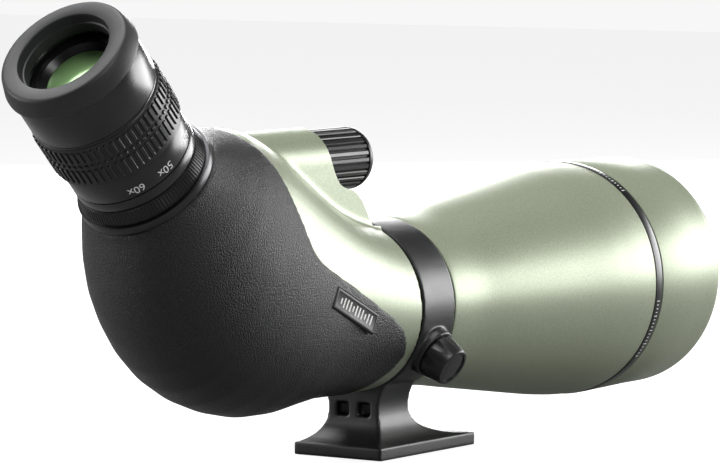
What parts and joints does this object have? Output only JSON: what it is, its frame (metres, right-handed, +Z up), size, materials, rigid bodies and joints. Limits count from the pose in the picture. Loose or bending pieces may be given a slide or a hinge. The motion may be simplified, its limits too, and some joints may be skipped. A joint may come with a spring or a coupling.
{
  "type": "angled spotting scope",
  "caption": "Angled spotting scope with sliding sun hood, focus knob, zoom eyepiece, twist-up eyecup and a rotating collar with a tripod foot.",
  "frame": {"origin": "centre of the tripod thread on the underside of the foot", "axes": "+X to the scope's right, +Y along the tube towards the objective, +Z up"},
  "size_m": [0.1002, 0.417, 0.1873],
  "materials": {
    "green_shell": "satin metallic paint, light sage green",
    "black_paint": "fine textured black paint",
    "black_anodised": "satin black anodised",
    "armour_rubber": "pebbled matt rubber",
    "grip_rubber": "ribbed matt rubber",
    "cup_rubber": "smooth matt rubber",
    "bright_metal": "fine turned metal",
    "steel": "machined",
    "brass": "machined",
    "glass": "coated optical glass",
    "plate": "satin plate with white tick bars",
    "felt": "black flock",
    "liner": "low friction acetal"
  },
  "bodies": {
    "mount": {"tripod_collar": "black_paint", "collar_liner": "liner", "thread_insert": "steel", "clamp_shoe": "liner"},
    "lock_knob": {"lock_knob": "grip_rubber", "lock_knob_cap": "grip_rubber", "lock_screw": "steel"},
    "tube": {"front_barrel": "green_shell", "trim_ring": "black_anodised", "objective_cell": "black_anodised", "objective_rear_lens": "glass", "objective_spacer": "black_anodised", "objective_front_lens": "glass", "objective_retainer": "black_anodised", "baffle_front": "black_anodised", "baffle_rear": "black_anodised", "prism_housing": "green_shell", "knob_shroud": "green_shell", "rubber_armour": "armour_rubber", "badge_plate": "plate", "barrel_seal": "grip_rubber", "prism": "glass", "prism_bracket": "black_anodised", "prism_rest": "liner", "bracket_screw_1": "steel", "bracket_screw_2": "steel", "bracket_screw_3": "steel", "bracket_screw_4": "steel", "focus_bush": "brass", "focus_guide_rod": "steel", "eyepiece_mount": "bright_metal", "eyepiece_seal": "grip_rubber", "eyepiece_barrel": "black_anodised", "index_ring": "black_anodised", "eyepiece_head": "black_anodised", "eye_lens_inner": "glass", "eye_lens_outer": "glass", "eye_lens_retainer": "black_anodised"},
    "hood": {"lens_hood": "green_shell", "hood_friction_band": "felt"},
    "focus_knob": {"focus_knob": "grip_rubber", "focus_knob_cap": "grip_rubber", "focus_screw": "steel"},
    "focus_carriage": {"focus_carriage": "black_anodised", "focus_lens": "glass", "focus_lens_retainer": "black_anodised"},
    "eyepiece_lock": {"eyepiece_lock_ring": "black_anodised"},
    "zoom_ring": {"zoom_grip": "grip_rubber", "number_ring": "black_anodised", "cam_tube": "brass", "zoom_trim_band": "black_anodised"},
    "zoom_cell_front": {"zoom_cell_front": "black_anodised", "zoom_lens_front": "glass"},
    "zoom_cell_rear": {"zoom_cell_rear": "black_anodised", "zoom_lens_rear": "glass", "rear_cam_pin_1": "steel", "rear_cam_pin_2": "steel"},
    "eyecup_guide": {"eyecup_guide": "bright_metal"},
    "eyecup": {"eyecup_sleeve": "black_anodised", "eyecup": "cup_rubber"}
  },
  "joints": [
    {"name": "collar_turn", "type": "hinge", "parent": "mount", "child": "tube", "pos_m": [0, 0, 0.0605], "axis": [0, 1, 0], "range_deg": [-130, 130]},
    {"name": "lock_turn", "type": "hinge", "parent": "mount", "child": "lock_knob", "pos_m": [0, -0.012, 0.0605], "axis": [0.866, 0, -0.5], "range_deg": [0, 360]},
    {"name": "hood_slide", "type": "slide", "parent": "tube", "child": "hood", "axis": [0, 1, 0], "range_m": [0, 0.033]},
    {"name": "focus_turn", "type": "hinge", "parent": "tube", "child": "focus_knob", "pos_m": [0, 0, 0.1205], "axis": [0, 1, 0], "range_deg": [-540, 540]},
    {"name": "focus_travel", "type": "slide", "parent": "tube", "child": "focus_carriage", "axis": [0, 1, 0], "range_m": [-0.00601, 0.00601]},
    {"name": "eyepiece_lock_turn", "type": "hinge", "parent": "tube", "child": "eyepiece_lock", "pos_m": [0, -0.16513, 0.12343], "axis": [0, -0.7071, 0.7071], "range_deg": [0, 60]},
    {"name": "zoom_turn", "type": "hinge", "parent": "tube", "child": "zoom_ring", "pos_m": [0, -0.18564, 0.14394], "axis": [0, -0.7071, 0.7071], "range_deg": [-43.3, 141.7]},
    {"name": "zoom_front_travel", "type": "slide", "parent": "tube", "child": "zoom_cell_front", "axis": [0, -0.7071, 0.7071], "range_m": [-0.00167, 0.00545]},
    {"name": "zoom_rear_travel", "type": "slide", "parent": "tube", "child": "zoom_cell_rear", "axis": [0, -0.7071, 0.7071], "range_m": [-0.00396, 0.00121]},
    {"name": "eyecup_travel", "type": "slide", "parent": "tube", "child": "eyecup_guide", "axis": [0, -0.7071, 0.7071], "range_m": [0, 0.009]},
    {"name": "eyecup_twist", "type": "hinge", "parent": "eyecup_guide", "child": "eyecup", "pos_m": [0, -0.19978, 0.15808], "axis": [0, -0.7071, 0.7071], "range_deg": [0, 70]}
  ],
  "couplings": [
    {"joint": "focus_travel", "follows": "focus_turn", "m_per_rad": 0.00063662},
    {"joint": "zoom_front_travel", "follows": "zoom_turn", "m_per_rad": 0.0022},
    {"joint": "zoom_rear_travel", "follows": "zoom_turn", "m_per_rad": -0.0016},
    {"joint": "eyecup_travel", "follows": "eyecup_twist", "m_per_rad": 0.0073666}
  ]
}
